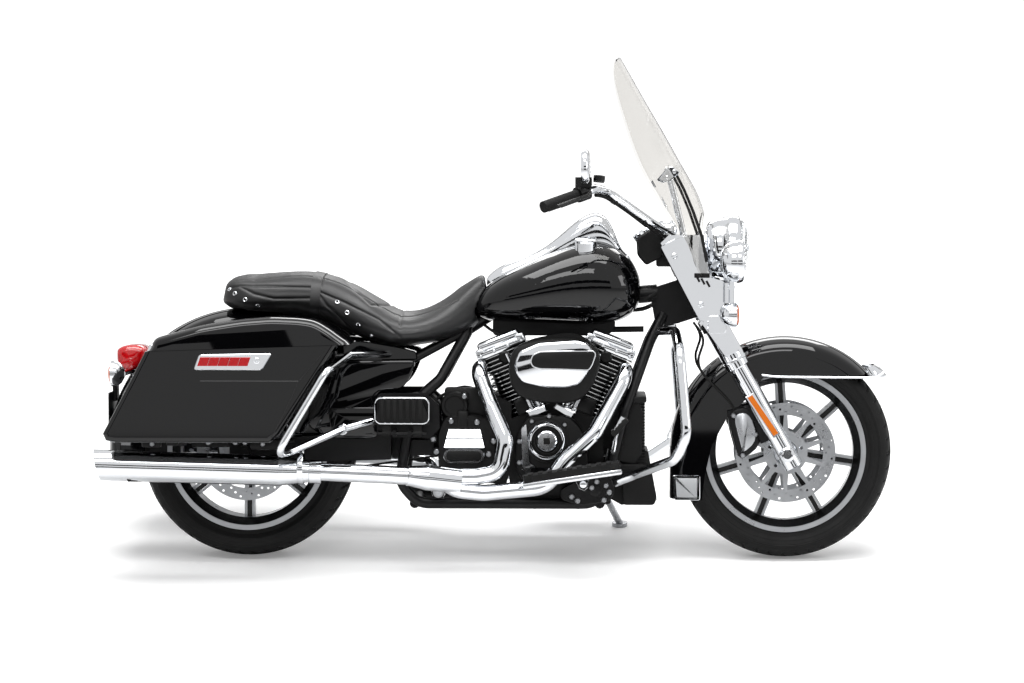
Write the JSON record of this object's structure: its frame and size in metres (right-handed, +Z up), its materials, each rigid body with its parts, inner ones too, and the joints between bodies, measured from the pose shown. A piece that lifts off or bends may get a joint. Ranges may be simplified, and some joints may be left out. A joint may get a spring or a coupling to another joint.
{
  "type": "touring cruiser motorcycle",
  "caption": "Touring cruiser motorcycle with twin engine, windshield, footboards, guards, hard saddlebags and two-up seat, parked on its side stand.",
  "frame": {"origin": "on the floor, below the middle of the whole motorcycle as it stands on its side stand", "axes": "+X forward from the rear wheel to the front wheel, +Y to the rider's left, +Z up"},
  "size_m": [2.3879, 1.0466, 1.5001],
  "materials": {
    "gloss_black": "gloss",
    "satin_black": "satin",
    "chrome": "polished",
    "cast_silver": "satin",
    "machined_steel": "brushed",
    "tyre_rubber": "matt",
    "black_rubber": "matt",
    "black_leather": "soft grain",
    "smoke_clear": "clear",
    "lamp_glass": "clear",
    "red_lens": "gloss",
    "black_plastic": "matt"
  },
  "bodies": {
    "chassis": {"air_cleaner": "chrome", "bag_guards": "chrome", "cylinders": "satin_black", "drive_belt": "black_rubber", "engine_case": "satin_black", "engine_covers": "chrome", "engine_guard": "chrome", "exhaust_headers": "chrome", "foot_brackets": "satin_black", "foot_controls": "chrome", "frame": "satin_black", "fuel_tank": "gloss_black", "intake": "satin_black", "latch_plates": "chrome", "mufflers": "chrome", "oil_cooler": "satin_black", "plate_bracket": "satin_black", "pushrod_tubes": "chrome", "rear_caliper": "cast_silver", "rear_fender": "gloss_black", "rear_lamps": "red_lens", "rear_shocks": "chrome", "rocker_boxes": "chrome", "saddlebag_left": "gloss_black", "saddlebag_right": "gloss_black", "seat": "black_leather", "side_covers": "gloss_black", "swingarm": "satin_black", "tank_console": "chrome"},
    "steering": {"fork_legs": "chrome", "triple_clamps": "satin_black", "handlebar": "chrome", "hand_grips": "black_rubber", "hand_controls": "black_plastic", "mirrors": "chrome", "nacelle": "chrome", "headlamp": "chrome", "headlamp_lens": "lamp_glass", "side_lamps": "chrome", "windshield": "smoke_clear", "lamp_and_screen_brackets": "chrome", "front_fender": "gloss_black", "front_calipers": "cast_silver"},
    "front_wheel_set": {"front_wheel": "cast_silver", "front_tyre": "tyre_rubber", "front_discs": "machined_steel"},
    "rear_wheel_set": {"rear_wheel": "cast_silver", "rear_tyre": "tyre_rubber", "rear_disc": "machined_steel", "drive_pulley": "machined_steel"},
    "lid_left": {"saddlebag_lid_left": "gloss_black"},
    "lid_right": {"saddlebag_lid_right": "gloss_black"},
    "board_left": {"rider_board_left": "black_rubber"},
    "board_right": {"rider_board_right": "black_rubber"},
    "step_left": {"passenger_step_left": "black_rubber"},
    "step_right": {"passenger_step_right": "black_rubber"},
    "stand": {"side_stand": "machined_steel"}
  },
  "joints": [
    {"name": "front_wheel_spin", "type": "hinge", "parent": "steering", "child": "front_wheel_set", "pos_m": [0.872, -0.08671, 0.31943], "axis": [0, 0.9877, -0.1564], "continuous": true},
    {"name": "rear_wheel_spin", "type": "hinge", "parent": "chassis", "child": "rear_wheel_set", "pos_m": [-0.753, -0.08609, 0.32338], "axis": [0, 0.9877, -0.1564], "continuous": true},
    {"name": "steering_head", "type": "hinge", "parent": "chassis", "child": "steering", "pos_m": [0.64747, -0.01054, 0.80035], "axis": [-0.4384, 0.1406, 0.8877], "range_deg": [-35, 35]},
    {"name": "left_lid_hinge", "type": "hinge", "parent": "chassis", "child": "lid_left", "pos_m": [-0.753, 0.38682, 0.5732], "axis": [-0.9994, -0.0053, -0.0336], "range_deg": [0, 85]},
    {"name": "right_lid_hinge", "type": "hinge", "parent": "chassis", "child": "lid_right", "pos_m": [-0.753, -0.45864, 0.70711], "axis": [0.9994, 0.0053, 0.0336], "range_deg": [0, 85]},
    {"name": "left_board_hinge", "type": "hinge", "parent": "chassis", "child": "board_left", "pos_m": [0.233, 0.1528, 0.22074], "axis": [0.9885, 0.0237, 0.1494], "range_deg": [0, 50]},
    {"name": "right_board_hinge", "type": "hinge", "parent": "chassis", "child": "board_right", "pos_m": [0.233, -0.34499, 0.29959], "axis": [-0.9885, -0.0237, -0.1494], "range_deg": [0, 50]},
    {"name": "left_step_hinge", "type": "hinge", "parent": "chassis", "child": "step_left", "pos_m": [-0.275, 0.13498, 0.35114], "axis": [-1, 0, 0], "range_deg": [0, 90]},
    {"name": "right_step_hinge", "type": "hinge", "parent": "chassis", "child": "step_right", "pos_m": [-0.275, -0.28775, 0.41809], "axis": [1, 0, 0], "range_deg": [0, 90]},
    {"name": "side_stand_pivot", "type": "hinge", "parent": "chassis", "child": "stand", "pos_m": [0.332, 0.06043, 0.13615], "axis": [0.0141, 0.6476, 0.7619], "range_deg": [0, 99.3]}
  ]
}
